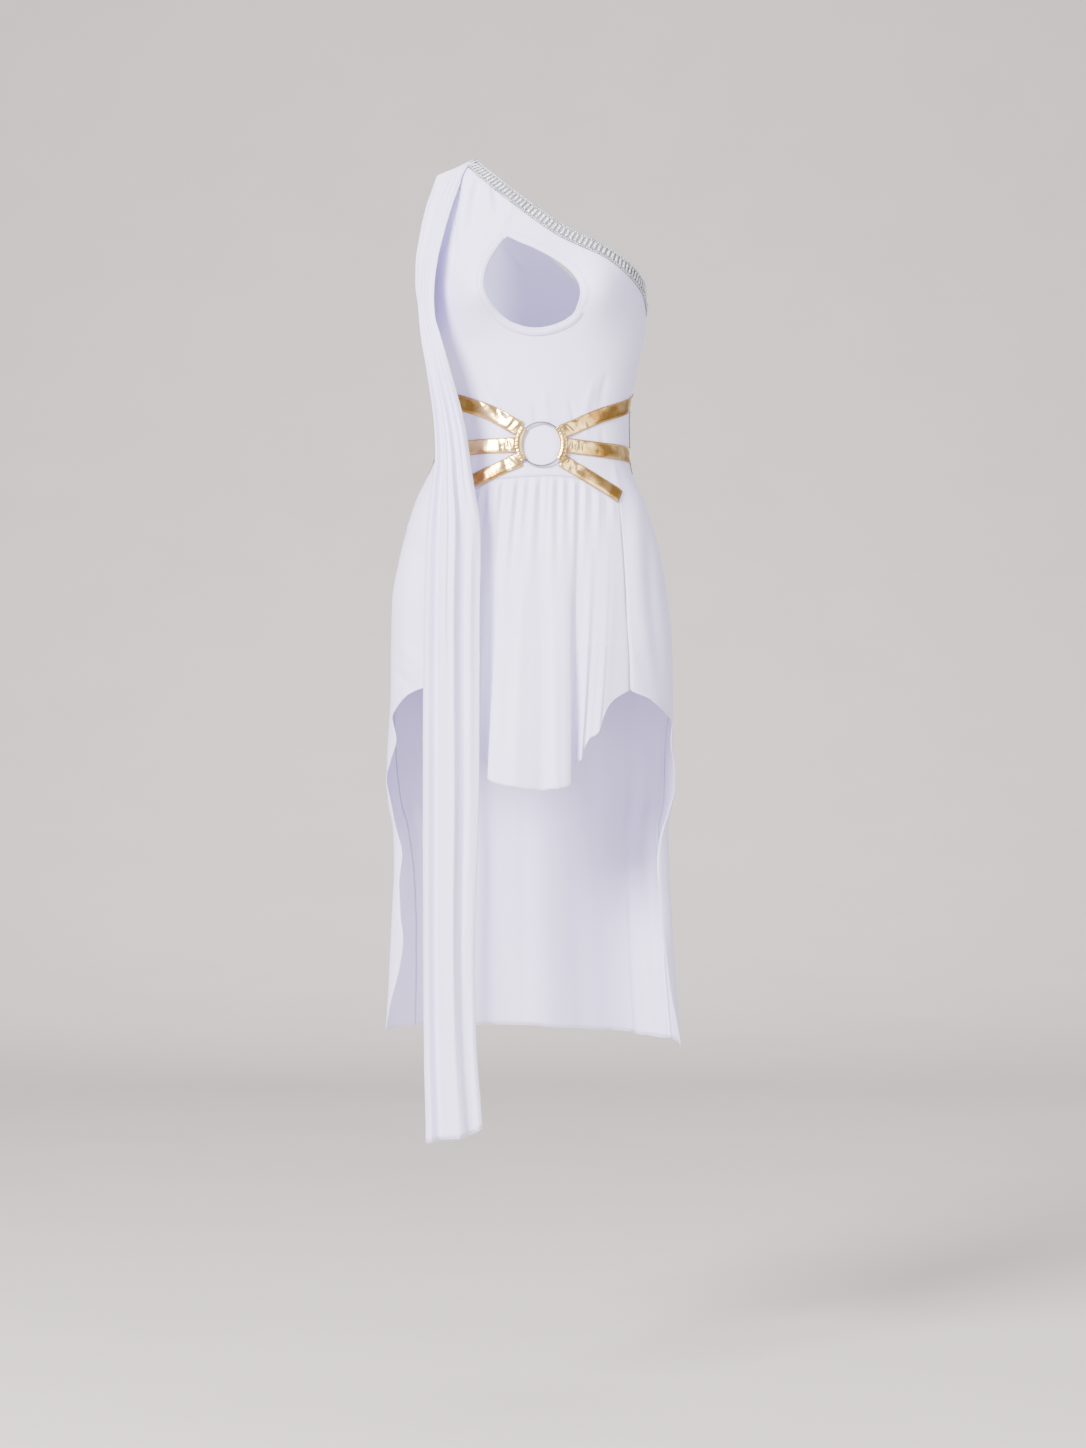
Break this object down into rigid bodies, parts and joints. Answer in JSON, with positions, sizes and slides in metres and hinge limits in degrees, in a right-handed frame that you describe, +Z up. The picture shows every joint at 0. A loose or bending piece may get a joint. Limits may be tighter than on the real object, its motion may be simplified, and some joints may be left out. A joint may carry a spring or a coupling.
{
  "type": "one-shoulder stage dress",
  "caption": "One-shoulder jersey stage dress with a teardrop opening, stone neckline trim, hanging pleated sash, foil strap belt on a ring and a long open-front tail.",
  "frame": {"origin": "underside of the shoulder, where the dress hangs on its wearer", "axes": "+Z up, -Y out of the front of the dress, +X towards the wearer's left"},
  "size_m": [0.3474, 0.27, 1.134],
  "materials": {
    "jersey": "smooth stretch jersey with a soft sheen",
    "stones": "clear cut stones in silver settings",
    "foil": "gold foil face, bare copper-coloured edges",
    "silver": "polished"
  },
  "bodies": {
    "root": {"front_body": "jersey", "back_body": "jersey", "skirt_front": "jersey", "sash": "jersey", "keyhole_binding": "jersey", "neck_trim_front": "stones", "neck_trim_back": "stones", "belt_ring": "silver", "casing_left": "foil", "casing_right": "foil", "belt_side_left": "foil", "belt_side_right": "foil", "strap_left_top": "foil", "strap_left_middle": "foil", "strap_left_bottom": "foil", "strap_right_top": "foil", "strap_right_middle": "foil", "strap_right_bottom": "foil"}
  },
  "joints": []
}
